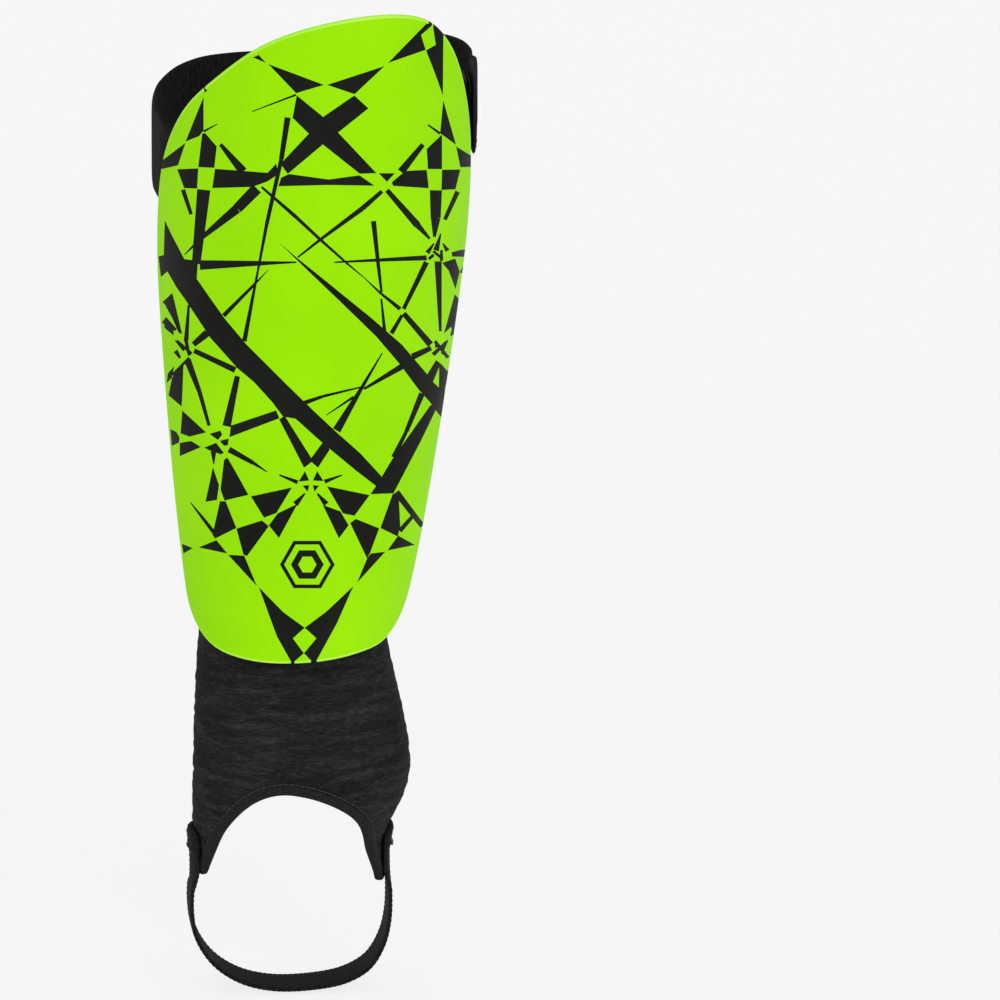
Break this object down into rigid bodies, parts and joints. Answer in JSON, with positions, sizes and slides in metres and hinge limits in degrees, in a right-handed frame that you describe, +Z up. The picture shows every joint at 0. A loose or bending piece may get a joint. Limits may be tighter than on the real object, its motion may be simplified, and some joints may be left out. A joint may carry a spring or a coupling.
{
  "type": "football shin guard",
  "caption": "Football shin guard: a curved plastic shell on a foam pad, an elastic calf strap with a hook-and-loop tab, and an ankle sleeve with side pads and an underfoot stirrup.",
  "frame": {"origin": "on the axis of the leg, level with the lower edge of the shell", "axes": "+Z up the leg from foot to knee, the shin and the shell's face towards -Y, the calf towards +Y, and the shell's high corner on the +X side"},
  "size_m": [0.1073, 0.1356, 0.3437],
  "materials": {
    "green_plastic": "satin moulded, with a printed black pattern",
    "black_foam": "matte closed-cell foam",
    "black_lining": "soft knitted lining",
    "black_elastic": "ribbed elastic webbing",
    "black_knit": "fine stretch knit",
    "black_tape": "folded binding tape",
    "black_hook": "moulded hooks",
    "black_pile": "looped pile"
  },
  "bodies": {
    "guard": {"shell": "green_plastic", "backing_foam": "black_foam", "backing_lining": "black_lining", "sleeve_sewing_panel": "black_tape", "strap_sewn_tail": "black_elastic", "strap_anchor_inner": "black_elastic", "strap_anchor": "black_elastic", "loop_patch": "black_pile", "sleeve_hem": "black_tape", "sleeve_upper": "black_knit"},
    "strap": {"calf_strap": "black_elastic"},
    "tab": {"strap_tab": "black_tape", "hook_patch": "black_hook"},
    "ankle": {"sleeve_flex_zone": "black_knit", "sleeve_lower": "black_knit", "arch_binding": "black_tape", "heel_binding": "black_tape", "ankle_disc_left": "black_foam", "disc_pocket_left": "black_lining", "ankle_disc_right": "black_foam", "disc_pocket_right": "black_lining"},
    "underfoot": {"stirrup": "black_elastic"}
  },
  "joints": [
    {"name": "strap_open", "type": "hinge", "parent": "guard", "child": "strap", "pos_m": [-0.0476, 0.008, 0.1604], "axis": [0, 0, 1], "range_deg": [0, 75], "stiffness_Nm_per_rad": 0.004},
    {"name": "tab_peel", "type": "hinge", "parent": "strap", "child": "tab", "pos_m": [0.0536, 0.0206, 0.1771], "axis": [0, 0, 1], "range_deg": [0, 80], "stiffness_Nm_per_rad": 0.001},
    {"name": "ankle_flex", "type": "hinge", "parent": "guard", "child": "ankle", "pos_m": [-0.006, 0.002, -0.006], "axis": [1, 0, 0], "range_deg": [-15, 15], "stiffness_Nm_per_rad": 0.02, "deforming": ["sleeve_flex_zone"]},
    {"name": "stirrup_swing", "type": "hinge", "parent": "ankle", "child": "underfoot", "pos_m": [-0.006, 0.006, -0.078], "axis": [1, 0, 0], "range_deg": [-35, 35]}
  ]
}
